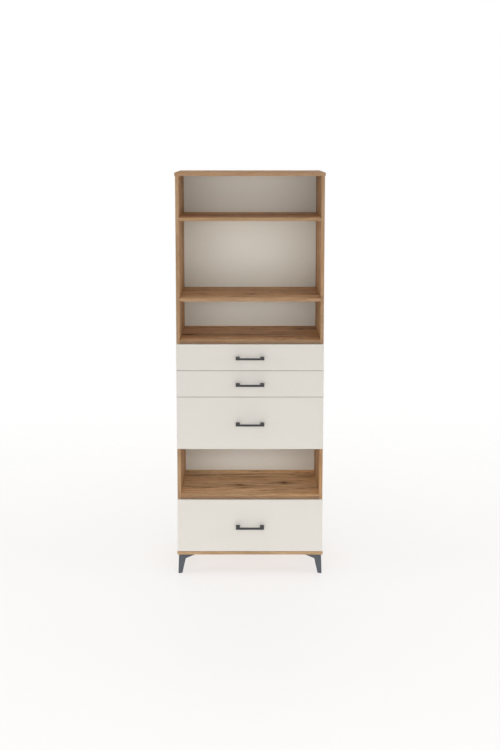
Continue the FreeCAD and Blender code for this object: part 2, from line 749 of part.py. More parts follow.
node(group("dowels", dowels))

# shelf pins
pin = make_body("pin_master")
revolve(pin, [(0, -d.pin_depth), (d.pin_radius - 0.5, -d.pin_depth),
              (d.pin_radius, -d.pin_depth + 0.5), (d.pin_radius, d.pin_reach - 0.6),
              (d.pin_radius - 0.6, d.pin_reach), (0, d.pin_reach)])
node(group("shelf_pins", [
    (pin, sign * inside, edge + y, level - d.pin_radius - 0.05, aim((-sign, 0, 0)))
    for level in loose_shelves for sign in (-1, 1) for y in (d.pin_front, d.pin_rear)]))

# nails through the back panel into the fixed boards' rear edges
nail = make_body("nail_master")
revolve(nail, [(0, 0), (d.nail_head, 0), (d.nail_head, d.nail_head_height * 0.4),
               (d.nail_head * 0.8, d.nail_head_height), (d.nail_radius, d.nail_head_height),
               (d.nail_radius, d.nail_head_height + d.nail_length - 2),
               (0, d.nail_head_height + d.nail_length)])
nail_levels = [d.open_floor_level + split_low, d.open_floor_level + split_high,
               d.niche_top_level + d.board / 2, d.niche_floor_level + d.board / 2]
node(group("back_panel_nails", [
    (nail, x - inside, back_face + d.back_thickness + d.nail_head_height, z, aim((0, -1, 0)))
    for z in nail_levels for x in nail_columns]))

# ---------------------------------------------------------------------------
# Runners: three nested channels, web towards the side panel on the outer and
# middle members and towards the drawer box on the inner member
# ---------------------------------------------------------------------------


def channel(label, web, height, reach, length, holes):
    """A left-hand channel: its web at X = web, its flanges towards `reach`."""
    body = make_body(label)
    top = height / 2
    gauge = d.rail_gauge
    step = gauge if reach.value > 0 else -gauge
    pad(body, Profile(body, "Section", "XZ_Plane").polygon([
        (web, -top), (web + reach, -top), (web + reach, -top + gauge),
        (web + step, -top + gauge), (web + step, top - gauge),
        (web + reach, top - gauge), (web + reach, top), (web, top)]), length, True)
    if holes is not None:
        low = web if reach.value > 0 else web - gauge
        pocket(body, Profile(body, "ScrewHoles", "YZ_Plane", low).circles(
            [(length / 2 - holes, ZERO), (length / 2 + holes, ZERO)], d.screw_pass),
            gauge, True)
    return body


outer_rail = channel("outer_rail_master", ZERO, d.outer_height, d.outer_reach,
                     d.outer_length, d.outer_hole)
middle_rail = channel("middle_rail_master", d.middle_offset, d.middle_height, d.middle_reach,
                      d.middle_length, None)
inner_rail = channel("inner_rail_master", d.drawer_gap, d.inner_height, -d.inner_reach,
                     d.inner_length, d.inner_hole)
half_turn = Rotation(Vector(0, 0, 1), 180)


def rail_pair(label, master, start, length, level):
    return node(group(label, [
        (master, -inside, edge + start, level, Rotation()),
        (master, inside, edge + start + length, level, half_turn)]))


node(group("left_cabinet_rails", [
    (outer_rail, -inside, edge + d.outer_start, dr.axis, Rotation()) for dr in drawers]))
node(group("right_cabinet_rails", [
    (outer_rail, inside, edge + d.outer_start + d.outer_length, dr.axis, half_turn)
    for dr in drawers]))

# wood screw: head at zero, shank along its own +Z
screw = make_body("screw_master")
revolve(screw, [(0, 0), (d.screw_head * 0.7, 0), (d.screw_head, d.screw_head_height * 0.5),
                (d.screw_head, d.screw_head_height), (d.screw_shank, d.screw_head_height),
                (d.screw_shank, d.screw_head_height + d.screw_length - 2),
                (0, d.screw_head_height + d.screw_length)])

wood_screws = []
for label, x, y, turn, sx, sy in leg_places:
    for a, b in leg_holes:
        wood_screws.append((screw, x + sx * a, y + sy * b,
                            d.leg_height - d.leg_wall - d.screw_head_height, Rotation()))
for dr in drawers:
    for sign in (-1, 1):
        for way in (-1, 1):
            wood_screws.append((screw, sign * (inside - d.rail_gauge - d.screw_head_height),
                                edge + outer_middle + way * d.outer_hole, dr.axis,
                                aim((sign, 0, 0))))
node(group("wood_screws", wood_screws))

# ---------------------------------------------------------------------------
# Drawers
# ---------------------------------------------------------------------------

# handle screw: head at zero, shank along its own +Z
handle_screw = make_body("handle_screw_master")
revolve(handle_screw, [
    (0, 0), (d.handle_screw_head * 0.7, 0),
    (d.handle_screw_head, d.handle_screw_head_height * 0.5),
    (d.handle_screw_head, d.handle_screw_head_height),
    (d.handle_screw, d.handle_screw_head_height),
    (d.handle_screw, d.handle_screw_head_height + d.handle_screw_length),
    (0, d.handle_screw_head_height + d.handle_screw_length)])

# box corner screw, its head sunk flush
corner_screw = make_body("corner_screw_master")
revolve(corner_screw, [
    (0, 0.2), (d.corner_head, 0.2), (d.corner_head, d.corner_head_height),
    (d.corner_shank, d.corner_head_height), (d.corner_shank, d.corner_length - 3),
    (d.corner_shank * 0.4, d.corner_length), (0, d.corner_length)])

# dowel between a front and a box side
peg = make_body("peg_master")
revolve(peg, [(0, -d.peg_in_front), (d.peg_radius - 0.8, -d.peg_in_front),
              (d.peg_radius, -d.peg_in_front + 0.8), (d.peg_radius, d.peg_in_side - 0.8),
              (d.peg_radius - 0.8, d.peg_in_side), (0, d.peg_in_side)])

box_top_lift = d.box_bottom_lift + d.back_thickness + d.groove_play   # groove's top
groove_low = d.box_bottom_lift
bottom_low = d.box_bottom_lift + d.groove_play / 2
back_low = bottom_low + d.back_thickness
handle_pitch = d.handle_length - d.handle_post


def drawer_front(label, dr):
    body = make_body(label)
    pad(body, Profile(body, "Outline", "XZ_Plane").rectangle(
        0, 0, d.carcass_width, dr.front_height), d.board, True)
    round_edges(body, d.edge_round, lambda m, b: True)
    lift = dr.box_bottom - dr.front_bottom
    pocket(body, Profile(body, "BottomGroove", "XZ_Plane", -d.board).rectangle(
        half - box_inner - d.groove_depth, lift + groove_low,
        half + box_inner + d.groove_depth, lift + box_top_lift), d.groove_depth, True)
    pocket(body, Profile(body, "DowelHoles", "XZ_Plane", -d.board).circles(
        [(half + sign * (box_half - d.drawer_board / 2), lift + z)
         for sign in (-1, 1) for z in (dr.low, dr.high)], d.peg_hole),
        d.peg_in_front + d.peg_play, True)
    pocket(body, Profile(body, "HandleHoles", "XZ_Plane").circles(
        [(half - handle_pitch / 2, dr.front_height / 2),
         (half + handle_pitch / 2, dr.front_height / 2)], d.handle_screw_hole),
        d.board, False)
    place(body, -half, d.front_face, dr.front_bottom)
    return node(body)


def drawer_side(label, dr, left):
    body = make_body(label)
    pad(body, Profile(body, "Outline", "YZ_Plane").rectangle(0, 0, d.drawer_depth, dr.box),
        d.drawer_board)
    round_edges(body, d.edge_round, lambda m, b: abs(m.z - dr.box.value) < 0.01 and b.YLength > 100)
    inner = d.drawer_board if left else ZERO
    outer = ZERO if left else d.drawer_board
    pocket(body, Profile(body, "BottomGroove", "YZ_Plane", inner).rectangle(
        0, groove_low, d.drawer_depth, box_top_lift), d.groove_depth, not left)
    pocket(body, Profile(body, "DowelHoles", "XZ_Plane").circles(
        [(d.drawer_board / 2, dr.low), (d.drawer_board / 2, dr.high)], d.peg_hole),
        d.peg_in_side + d.peg_play, False)
    rear_line = d.drawer_depth - d.drawer_board / 2
    corners = [(rear_line, dr.low), (rear_line, dr.high)]
    pocket(body, Profile(body, "CornerHoles", "YZ_Plane", outer).circles(corners, d.corner_hole),
           d.drawer_board, left)
    pocket(body, Profile(body, "CornerSinks", "YZ_Plane", outer).circles(corners, d.corner_sink),
           d.corner_head_height, left)
    at = edge + inner_middle - front_back
    pocket(body, Profile(body, "RailHoles", "YZ_Plane", outer).circles(
        [(at - d.inner_hole, dr.rail), (at + d.inner_hole, dr.rail)], d.screw_hole),
        d.drawer_board - 1, left)
    place(body, -box_half if left else box_inner, front_back, dr.box_bottom)
    return node(body)


def drawer_back(label, dr):
    body = make_body(label)
    pad(body, Profile(body, "Outline", "XZ_Plane").rectangle(
        0, 0, box_inner * 2, dr.box - back_low), d.drawer_board, True)
    round_edges(body, d.edge_round,
                lambda m, b: abs(m.z - (dr.box - back_low).value) < 0.01 and b.XLength > 100)
    middle = d.drawer_board / 2
    for name, offset, inwards in (("LeftEnd", ZERO, True), ("RightEnd", box_inner * 2, False)):
        pocket(body, Profile(body, name, "YZ_Plane", offset).circles(
            [(middle, dr.low - back_low), (middle, dr.high - back_low)], d.corner_hole),
            d.corner_length - d.drawer_board + 1, inwards)
    place(body, -box_inner, front_back + d.drawer_depth - d.drawer_board, dr.box_bottom + back_low)
    return node(body)


def drawer_bottom(label, dr):
    reach = box_inner + d.tongue - 0.3
    panel = doc.addObject("Part::Box", label)
    panel.Label = label
    bind(panel, "Length", reach * 2)
    bind(panel, "Width", d.drawer_depth + d.tongue - 0.3)
    bind(panel, "Height", d.back_thickness)
    place(panel, -reach, front_back - d.tongue + 0.3, dr.box_bottom + bottom_low)
    return node(panel)


def handle(label, dr):
    """A bar on two posts; its own frame has the drawer front's face at Y = 0."""
    body = make_body(label)
    out = d.handle_length / 2
    reach = d.handle_reach
    pad(body, Profile(body, "PlanOutline", "XY_Plane").polygon([
        (-out, ZERO), (-out, -reach), (out, -reach), (out, ZERO),
        (out - d.handle_post, ZERO), (out - d.handle_post, -reach + d.handle_bar),
        (-out + d.handle_post, -reach + d.handle_bar), (-out + d.handle_post, ZERO)]),
        d.handle_height)
    inner_y = (-reach + d.handle_bar).value
    inner_x = (out - d.handle_post).value
    round_edges(body, d.handle_round, lambda m, b: b.ZLength > 1 and abs(m.y - inner_y) < 0.01
                and abs(abs(m.x) - inner_x) < 0.01)
    # a fine bevel along the edges of the bar and the posts, not where they meet the front
    doc.recompute()
    base = body.Tip
    names = []
    for i, e in enumerate(base.Shape.Edges, start=1):
        m, b = e.CenterOfMass, e.BoundBox
        flat = b.ZLength < 0.01
        outer_upright = b.ZLength > 1 and abs(m.y + reach.value) < 0.01
        if (flat and not (abs(m.y) < 0.01)) or outer_upright:
            names.append("Edge%d" % i)
    bevel = body.newObject("PartDesign::Fillet", "EdgeBevel")
    bevel.Base = (base, names)
    bind(bevel, "Radius", d.handle_edge)
    doc.recompute()
    pocket(body, Profile(body, "ScrewWells", "XZ_Plane").circles(
        [(-handle_pitch / 2, d.handle_height / 2), (handle_pitch / 2, d.handle_height / 2)],
        d.handle_screw_hole), d.handle_screw_well, True)
    place(body, ZERO, d.front_face, dr.handle - d.handle_height / 2)
    return node(body)


def fasteners(label, dr):
    placed = []
    for sign in (-1, 1):
        placed.append((handle_screw, sign * handle_pitch / 2,
                       front_back + d.handle_screw_head_height, dr.handle, aim((0, -1, 0))))
        for lift in (dr.low, dr.high):
            placed.append((corner_screw, sign * box_half,
                           front_back + d.drawer_depth - d.drawer_board / 2,
                           dr.box_bottom + lift, aim((-sign, 0, 0))))
            placed.append((peg, sign * (box_half - d.drawer_board / 2), front_back,
                           dr.box_bottom + lift, aim((0, 1, 0))))
        for way in (-1, 1):
            placed.append((screw, sign * (box_half + d.rail_gauge + d.screw_head_height),
                           edge + inner_middle + way * d.inner_hole, dr.axis,
                           aim((-sign, 0, 0))))
    return node(group(label, placed))


for dr in drawers:
    name = "drawer_%d_" % dr.number
    drawer_front(name + "front", dr)
    drawer_side(name + "left_side", dr, True)
    drawer_side(name + "right_side", dr, False)
    drawer_back(name + "back", dr)
    drawer_bottom(name + "bottom", dr)
    handle(name + "handle", dr)
    fasteners(name + "fasteners", dr)
    rail_pair(name + "drawer_rails", inner_rail, d.inner_start, d.inner_length, dr.axis)
    rail_pair(name + "middle_rails", middle_rail, d.middle_start, d.middle_length, dr.axis)

# ---------------------------------------------------------------------------
# Check every piece, then write one file per node
# ---------------------------------------------------------------------------

doc.recompute()
for thing in doc.Objects:
    if "Invalid" in thing.State or "Error" in thing.State:
        raise RuntimeError("%s (%s) failed: %s" % (thing.Name, thing.Label, thing.State))
for thing in nodes:
    shape = thing.Shape
    if shape.isNull() or not shape.isValid() or not shape.Solids:
        raise RuntimeError("%s has no valid shape" % thing.Label)

os.makedirs("parts", exist_ok=True)
for thing in nodes:
    thing.Shape.exportStep(os.path.join("parts", thing.Label + ".step"))
print(len(nodes), "nodes,", sum(len(t.Shape.Solids) for t in nodes), "solids")
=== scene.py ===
import math

import bpy
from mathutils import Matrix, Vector


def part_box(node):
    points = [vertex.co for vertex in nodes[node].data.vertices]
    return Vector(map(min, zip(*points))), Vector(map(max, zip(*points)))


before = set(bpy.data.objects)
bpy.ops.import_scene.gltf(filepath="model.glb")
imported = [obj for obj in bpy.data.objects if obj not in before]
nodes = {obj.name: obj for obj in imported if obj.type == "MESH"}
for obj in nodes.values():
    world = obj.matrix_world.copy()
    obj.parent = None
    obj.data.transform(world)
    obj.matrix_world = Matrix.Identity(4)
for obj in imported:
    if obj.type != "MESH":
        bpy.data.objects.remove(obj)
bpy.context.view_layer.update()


# ---------------------------------------------------------------------------
# A small writer for shader node trees
# ---------------------------------------------------------------------------
class Tree:
    """Adds nodes to a tree; every call returns an output socket, and takes sockets or plain values."""

    def __init__(self, tree):
        self.tree = tree
        self.column = 0

    def add(self, kind, **settings):
        node = self.tree.nodes.new(kind)
        self.column += 1
        node.location = (170 * (self.column % 24), -190 * (self.column // 24))
        for name, value in settings.items():
            setattr(node, name, value)
        return node

    def put(self, socket, value):
        if isinstance(value, bpy.types.NodeSocket):
            self.tree.links.new(value, socket)
        elif value is not None:
            socket.default_value = value

    def maths(self, operation, a, b=None, c=None, clamp=False):
        node = self.add("ShaderNodeMath", operation=operation, use_clamp=clamp)
        for socket, value in zip(node.inputs, (a, b, c)):
            self.put(socket, value)
        return node.outputs[0]

    def plus(self, a, b):
        return self.maths("ADD", a, b)

    def minus(self, a, b):
        return self.maths("SUBTRACT", a, b)

    def times(self, a, b):
        return self.maths("MULTIPLY", a, b)

    def over(self, a, b):
        return self.maths("DIVIDE", a, b)

    def fma(self, a, b, c):
        return self.maths("MULTIPLY_ADD", a, b, c)

    def vector(self, operation, a, b=None):
        node = self.add("ShaderNodeVectorMath", operation=operation)
        for socket, value in zip(node.inputs, (a, b)):
            self.put(socket, value)
        return node.outputs["Value" if operation in ("LENGTH", "DOT_PRODUCT", "DISTANCE") else "Vector"]

    def split(self, vector):
        node = self.add("ShaderNodeSeparateXYZ")
        self.put(node.inputs[0], vector)
        return node.outputs[0], node.outputs[1], node.outputs[2]

    def join(self, x, y, z):
        node = self.add("ShaderNodeCombineXYZ")
        for socket, value in zip(node.inputs, (x, y, z)):
            self.put(socket, value)
        return node.outputs[0]

    def smooth(self, value, low, high, to_low=0.0, to_high=1.0):
        node = self.add("ShaderNodeMapRange", interpolation_type="SMOOTHSTEP")
        for socket, v in zip(node.inputs[:5], (value, low, high, to_low, to_high)):
            self.put(socket, v)
        return node.outputs[0]

    def spread(self, value, low, high, to_low=0.0, to_high=1.0):
        node = self.add("ShaderNodeMapRange", clamp=True)
        for socket, v in zip(node.inputs[:5], (value, low, high, to_low, to_high)):
            self.put(socket, v)
        return node.outputs[0]

    def noise(self, vector, scale=1.0, detail=2.0, rough=0.5, distortion=0.0, colour=False):
        node = self.add("ShaderNodeTexNoise", noise_dimensions="3D")
        self.put(node.inputs["Vector"], vector)
        self.put(node.inputs["Scale"], scale)
        self.put(node.inputs["Detail"], detail)
        self.put(node.inputs["Roughness"], rough)
        self.put(node.inputs["Distortion"], distortion)
        return node.outputs["Color" if colour else "Fac"]

    def cells(self, vector, scale=1.0, randomness=1.0, feature="F1", dimensions="3D"):
        node = self.add("ShaderNodeTexVoronoi", feature=feature, voronoi_dimensions=dimensions)
        self.put(node.inputs["Vector"], vector)
        self.put(node.inputs["Scale"], scale)
        self.put(node.inputs["Randomness"], randomness)
        return node

    def blend(self, factor, a, b, kind="MIX"):
        node = self.add("ShaderNodeMix", data_type="RGBA", blend_type=kind, clamp_factor=True)
        self.put(node.inputs[0], factor)
        self.put(node.inputs[6], a)
        self.put(node.inputs[7], b)
        return node.outputs[2]

    def between(self, factor, a, b):
        node = self.add("ShaderNodeMix", data_type="FLOAT", clamp_factor=True)
        self.put(node.inputs[0], factor)
        self.put(node.inputs[2], a)
        self.put(node.inputs[3], b)
        return node.outputs[0]

    def between_vectors(self, factor, a, b):
        node = self.add("ShaderNodeMix", data_type="VECTOR", clamp_factor=True)
        self.put(node.inputs[0], factor)
        self.put(node.inputs[4], a)
        self.put(node.inputs[5], b)
        return node.outputs[1]

    def ramp(self, factor, stops, interpolation="LINEAR"):
        node = self.add("ShaderNodeValToRGB")
        node.color_ramp.interpolation = interpolation
        elements = node.color_ramp.elements
        while len(elements) > 1:
            elements.remove(elements[-1])
        elements[0].position = stops[0][0]
        elements[0].color = (*stops[0][1], 1)
        for place, colour in stops[1:]:
            e = elements.new(place)
            e.color = (*colour, 1)
        self.put(node.inputs[0], factor)
        return node.outputs[0]

    def bump(self, height, strength, distance):
        node = self.add("ShaderNodeBump")
        node.inputs["Strength"].default_value = strength
        node.inputs["Distance"].default_value = distance
        self.put(node.inputs["Height"], height)
        return node.outputs["Normal"]

    def group(self, tree, **inputs):
        node = self.add("ShaderNodeGroup", node_tree=tree)
        for name, value in inputs.items():
            self.put(node.inputs[name], value)
        return node


def new_group(name, inputs, outputs):
    """A node group with those sockets; returns (its Tree, its input sockets by name, its output node)."""
    tree = bpy.data.node_groups.new(name, "ShaderNodeTree")
    kinds = {"vector": "NodeSocketVector", "float": "NodeSocketFloat", "colour": "NodeSocketColor"}
    for label, kind in inputs:
        tree.interface.new_socket(label, in_out="INPUT", socket_type=kinds[kind])
    for label, kind in outputs:
        tree.interface.new_socket(label, in_out="OUTPUT", socket_type=kinds[kind])
    t = Tree(tree)
    entry = t.add("NodeGroupInput")
    leave = t.add("NodeGroupOutput")
    return t, {s.name: s for s in entry.outputs if s.name}, leave


def new_material(name, **uniform):
    """A material with one Principled shader; uniform values sit on the shader's own sockets."""
    material = bpy.data.materials.new(name)
    material.use_nodes = True
    material.node_tree.nodes.clear()
    t = Tree(material.node_tree)
    shader = t.add("ShaderNodeBsdfPrincipled")
    out = t.add("ShaderNodeOutputMaterial")
    t.put(out.inputs["Surface"], shader.outputs[0])
    for label, value in uniform.items():
        shader.inputs[label].default_value = value
    return material, t, shader


def surface(t):
    """The object's own coordinates, in metres of the shared frame, and its normal."""
    node = t.add("ShaderNodeTexCoord")
    return node.outputs["Object"], node.outputs["Normal"]


def edge_distance(t, place, node):
    """How far a point on a board's surface is from the nearest long edge of that board, in metres."""
    low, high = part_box(node)
    inside = t.vector("SUBTRACT", tuple((high - low) / 2), t.vector("ABSOLUTE", t.vector("SUBTRACT", place, tuple((low + high) / 2))))
    x, y, z = t.split(inside)
    return t.maths("MAXIMUM", t.maths("MINIMUM", x, y), t.maths("MINIMUM", t.maths("MAXIMUM", x, y), z))


def paint(node, material):
    """Gives a CAD node that one material."""
    mesh = nodes[node].data
    mesh.materials.clear()
    mesh.materials.append(material)
    mesh.polygons.foreach_set("material_index", [0] * len(mesh.polygons))


# ---------------------------------------------------------------------------
# Oak decor: grain along the vector's first axis, in metres
# ---------------------------------------------------------------------------
def scatter_knots(t, u, v, long_cell, wide_cell, least, small, more, shift):
    """Knots in uneven cells of that size: where the grain parts, how far a point is from the heart, and the dark tail along the grain."""
    cell = t.cells(t.join(t.fma(u, 1 / long_cell, shift), t.fma(v, 1 / wide_cell, shift * 0.7), 0.0), 1.0, 0.85, dimensions="2D")
    cu, cv, _ = t.split(cell.outputs["Position"])
    du = t.minus(u, t.times(t.minus(cu, shift), long_cell))
    dv = t.minus(v, t.times(t.minus(cv, shift * 0.7), wide_cell))
    chance, size, depth = t.split(cell.outputs["Color"])
    here = t.maths("GREATER_THAN", chance, least)
    radius = t.fma(t.times(size, size), more, small)

    def fall(along, across):
        a, b = t.over(du, t.times(radius, along)), t.over(dv, t.times(radius, across))
        return t.times(t.maths("EXPONENT", t.times(t.plus(t.times(a, a), t.times(b, b)), -1.0)), here)

    ru = t.over(du, t.spread(chance, least, 1.0, 1.2, 2.6))
    distance = t.over(t.maths("SQRT", t.plus(t.times(ru, ru), t.times(dv, dv))), radius)
    return {"dv": dv, "near": fall(6.0, 2.4), "tail": fall(8.5, 1.3), "distance": distance, "here": here, "depth": depth}


def make_oak_group():
    t, given, leave = new_group(
        "oak_decor",
        [("Vector", "vector"), ("Knots", "float"), ("Figure", "float"), ("Cast", "vector")],
        [("Colour", "colour"), ("Roughness", "float"), ("Height", "float")],
    )
    u, v, w = t.split(given["Vector"])

    def stretched(along, across, detail, rough, v_used, start=0.0):
        return t.noise(t.join(t.fma(u, along, start), t.times(v_used, across), t.fma(w, across, start * 0.6)), 1.0, detail, rough)

    # the grain wanders slowly across the board, and trembles a little on the way
    v1 = t.plus(v, t.fma(stretched(0.90, 2.4, 1.5, 0.5, v), 0.036, -0.018))
    v1 = t.plus(v1, t.fma(stretched(5.0, 17.0, 2.0, 0.5, v), 0.006, -0.003))
    v1 = t.plus(v1, t.fma(stretched(30.0, 64.0, 2.0, 0.5, v), 0.0016, -0.0008))

    # knots, large and small; the grain parts round each of them
    big = scatter_knots(t, u, v1, 0.29, 0.150, 0.48, 0.0040, 0.0090, 3.3)
    pin = scatter_knots(t, u, v1, 0.125, 0.060, 0.78, 0.0011, 0.0024, 11.7)
    v2 = t.minus(v1, t.times(t.times(t.times(big["dv"], big["near"]), 0.84), given["Knots"]))
    v2 = t.minus(v2, t.times(t.times(t.times(pin["dv"], pin["near"]), 0.70), given["Knots"]))

    # growth rings: level lines of a stretched field give flames and eyes
    field = stretched(0.60, 6.5, 2.0, 0.42, v2)
    coarse = t.maths("FRACT", t.fma(field, 16.0, t.times(v2, 34.0)))
    late = t.times(t.smooth(coarse, 0.20, 0.88), t.smooth(coarse, 1.0, 0.91))
    fine = t.maths("FRACT", t.fma(field, 58.0, t.fma(v2, 130.0, t.times(stretched(5.0, 44.0, 2.0, 0.5, v2, 1.9), 1.4))))
    late_fine = t.times(t.smooth(fine, 0.30, 0.85), t.smooth(fine, 1.0, 0.88))
    fading = t.smooth(stretched(2.4, 24.0, 2.0, 0.5, v2, 4.4), 0.36, 0.64)

    # tones: wide bands, streaks, fibres, pores
    wide = stretched(0.55, 8.0, 2.0, 0.5, v2)
    streak = stretched(1.2, 52.0, 4.0, 0.62, v2)
    fibre = stretched(9.0, 520.0, 2.0, 0.6, v2)
    pores = t.times(t.smooth(stretched(34.0, 1300.0, 1.0, 0.5, v2), 0.58, 0.68), t.fma(late_fine, 0.6, 0.4))
    mottle = stretched(6.5, 40.0, 3.0, 0.62, v2, 8.8)
    flake = stretched(24.0, 72.0, 2.0, 0.6, v2, 5.7)
    tone = t.fma(t.minus(wide, 0.5), 0.62, 0.14)
    tone = t.fma(t.minus(streak, 0.5), 0.86, tone)
    tone = t.fma(t.minus(mottle, 0.5), 0.62, tone)
    tone = t.fma(t.minus(flake, 0.5), 0.42, tone)
    tone = t.fma(late, -0.16, tone)
    tone = t.fma(t.times(late_fine, fading), -0.17, tone)
    tone = t.fma(t.minus(fibre, 0.5), 0.40, tone)
    tone = t.fma(tone, given["Figure"], 0.43)
    colour = t.ramp(
        tone,
        [
            (0.00, (0.175, 0.090, 0.043)),
            (0.26, (0.330, 0.182, 0.092)),
            (0.46, (0.490, 0.294, 0.158)),
            (0.64, (0.580, 0.366, 0.208)),
            (0.82, (0.645, 0.424, 0.252)),
            (1.00, (0.700, 0.480, 0.305)),
        ],
    )
    # the print drifts between a redder and a greyer brown
    drift = stretched(0.9, 9.0, 2.0, 0.5, v2, 6.1)
    colour = t.vector("MULTIPLY", colour, t.between_vectors(t.smooth(drift, 0.30, 0.70), (1.06, 0.985, 0.925), (0.955, 1.005, 1.055)))

    # dark mineral streaks and short checks, thin and broken
    ink = stretched(1.9, 34.0, 3.0, 0.55, v2, 7.3)
    broken = stretched(9.0, 80.0, 2.0, 0.6, v2, 2.6)
    stain = t.times(t.smooth(ink, 0.57, 0.72), t.smooth(broken, 0.38, 0.60))
    colour = t.blend(t.times(t.times(stain, 0.66), given["Figure"]), colour, (0.120, 0.062, 0.032, 1))
    check = t.times(t.smooth(stretched(12.0, 340.0, 1.0, 0.5, v2, 9.2), 0.63, 0.71), t.smooth(stretched(1.6, 15.0, 2.0, 0.5, v2, 5.0), 0.47, 0.60))
    colour = t.blend(t.times(t.times(check, 0.72), given["Figure"]), colour, (0.075, 0.040, 0.022, 1))
    glint = t.smooth(stretched(42.0, 210.0, 1.0, 0.5, v2, 3.1), 0.66, 0.74)
    colour = t.blend(t.times(glint, 0.11), colour, (0.70, 0.50, 0.33, 1))

    # round a knot: a stained tail, a warm halo, rings, and a cracked dark heart
    ragged = t.noise(t.join(t.times(u, 120.0), t.times(v1, 190.0), t.times(w, 190.0)), 1.0, 3.0, 0.65)
    hearts = 0.0
    for knot, strength in ((big, 1.0), (pin, 0.85)):
        r = t.times(knot["distance"], t.fma(ragged, 1.2, 0.4))
        force = t.fma(knot["depth"], 0.80, 0.42)
        here = t.times(knot["here"], given["Knots"])
        tail = t.times(t.times(knot["tail"], given["Knots"]), t.smooth(broken, 0.30, 0.62))
        colour = t.blend(t.times(t.times(tail, 0.60 * strength), force), colour, (0.165, 0.085, 0.042, 1))
        halo = t.times(t.smooth(r, 3.2, 0.7), here)
        colour = t.blend(t.times(t.times(halo, 0.50 * strength), force), colour, (0.215, 0.112, 0.055, 1))
        rings_in = t.maths("SINE", t.times(r, 12.0))
        heart = t.times(t.smooth(r, 1.15, 0.60), here)
        heart_colour = t.blend(t.fma(rings_in, 0.35, 0.40), (0.045, 0.023, 0.013, 1), (0.150, 0.078, 0.040, 1))
        colour = t.blend(t.times(heart, t.fma(knot["depth"], 0.55, 0.40 * strength)), colour, heart_colour)
        hearts = t.maths("MAXIMUM", heart, hearts)
    colour = t.blend(t.times(pores, 0.38), colour, (0.140, 0.076, 0.040, 1))
    # Cast holds the print's tint together with each board's painted light and shade factor
    t.put(leave.inputs["Colour"], t.vector("MULTIPLY", colour, given["Cast"]))

    rough = t.fma(late_fine, 0.05, 0.50)
    rough = t.fma(t.minus(streak, 0.5), -0.10, rough)
    rough = t.fma(pores, 0.16, rough)
    rough = t.fma(hearts, 0.10, rough)
    t.put(leave.inputs["Roughness"], rough)

    height = t.fma(fibre, 0.35, t.times(late_fine, -0.18))
    height = t.fma(pores, -0.75, height)
    height = t.fma(check, -0.80, height)
    height = t.fma(hearts, -0.45, height)
    t.put(leave.inputs["Height"], height)
    return t.tree


oak_group = make_oak_group()


FACE_CAST = (1.04, 1.00, 0.92)
EDGE_CAST = (0.95, 0.98, 1.02)


def oak(node, along, offset, face_painted_light, edge_painted_light, outer_painted_light=None):
    """Oak decor on one board: printed faces with the grain along one axis, and edging strips whose grain follows the
    edge.

    The face and edge factors are painted light and shade, set board by board: faces that sit in shade are painted
    lighter, lit faces darker. The last argument names the face on the cabinet's outside, its direction along X, Y or Z
    and its own painted light factor."""
    material, t, shader = new_material("oak_" + node, **{"Specular IOR Level": 0.10})
    place, normal = surface(t)
    x, y, z = t.split(place)
    nx, ny, nz = t.split(t.vector("ABSOLUTE", normal))
    a, b, c = offset
    if along == "X":
        face = t.join(t.plus(x, a), t.plus(y, b), t.fma(z, 0.15, c))
        front = t.join(t.plus(x, a + 3.7), t.fma(z, 0.6, b + 5.1), c + 1.3)
        end = t.join(t.plus(y, a + 6.2), t.fma(z, 0.6, b + 8.4), c + 2.7)
        on_front = t.maths("GREATER_THAN", ny, 0.6)
        on_end = t.maths("GREATER_THAN", nx, 0.6)
    else:
        face = t.join(t.plus(z, a), t.plus(y, b), t.fma(x, 0.15, c))
        front = t.join(t.plus(z, a + 3.7), t.fma(x, 0.6, b + 5.1), c + 1.3)
        end = t.join(t.plus(y, a + 6.2), t.fma(x, 0.6, b + 8.4), c + 2.7)
        on_front = t.maths("GREATER_THAN", ny, 0.6)
        on_end = t.maths("GREATER_THAN", nz, 0.6)
    grain = t.between_vectors(on_end, t.between_vectors(on_front, face, front), end)
    edging = t.maths("MAXIMUM", on_front, on_end)
    # painted light and shade: the print's tint times this board's face factor, which stands in for the light its faces
    # get
    cast_and_painted_light = tuple(c * s for c, s in zip(FACE_CAST, face_painted_light))
    if outer_painted_light:
        # shade here is the outer face's painted light factor, darker because that face is well lit
        axis, sign, shade = outer_painted_light
        outside = t.maths("GREATER_THAN", t.times(t.split(normal)["XYZ".index(axis)], sign), 0.6)
        cast_and_painted_light = t.between_vectors(outside, cast_and_painted_light, tuple(c * s for c, s in zip(FACE_CAST, shade)))
    # the edging strips get their own painted light factor
    cast_and_painted_light = t.between_vectors(edging, cast_and_painted_light, tuple(c * s for c, s in zip(EDGE_CAST, edge_painted_light)))
    wood = t.group(oak_group, Vector=grain, Knots=t.minus(1.0, edging), Figure=t.fma(edging, -0.66, 1.0), Cast=cast_and_painted_light)

    # the edging's joint is a hair line; its rounded corners are rubbed a little paler
    edge = edge_distance(t, place, node)
    scuff = t.noise(place, 95.0, 3.0, 0.6)
    line = t.times(t.smooth(edge, 0.0013, 0.0010), t.smooth(edge, 0.0006, 0.0009))
    rubbed = t.times(t.smooth(edge, 0.0011, 0.0002), t.smooth(scuff, 0.42, 0.62))
    colour = t.blend(t.times(line, 0.28), wood.outputs["Colour"], (0.13, 0.075, 0.042, 1))
    colour = t.blend(t.times(rubbed, 0.30), colour, (0.60, 0.45, 0.31, 1))
    t.put(shader.inputs["Base Color"], colour)
    t.put(shader.inputs["Roughness"], t.fma(rubbed, 0.08, wood.outputs["Roughness"]))
    height = t.fma(line, -0.6, wood.outputs["Height"])
    t.put(shader.inputs["Normal"], t.bump(height, 0.35, 0.00035))
    paint(node, material)
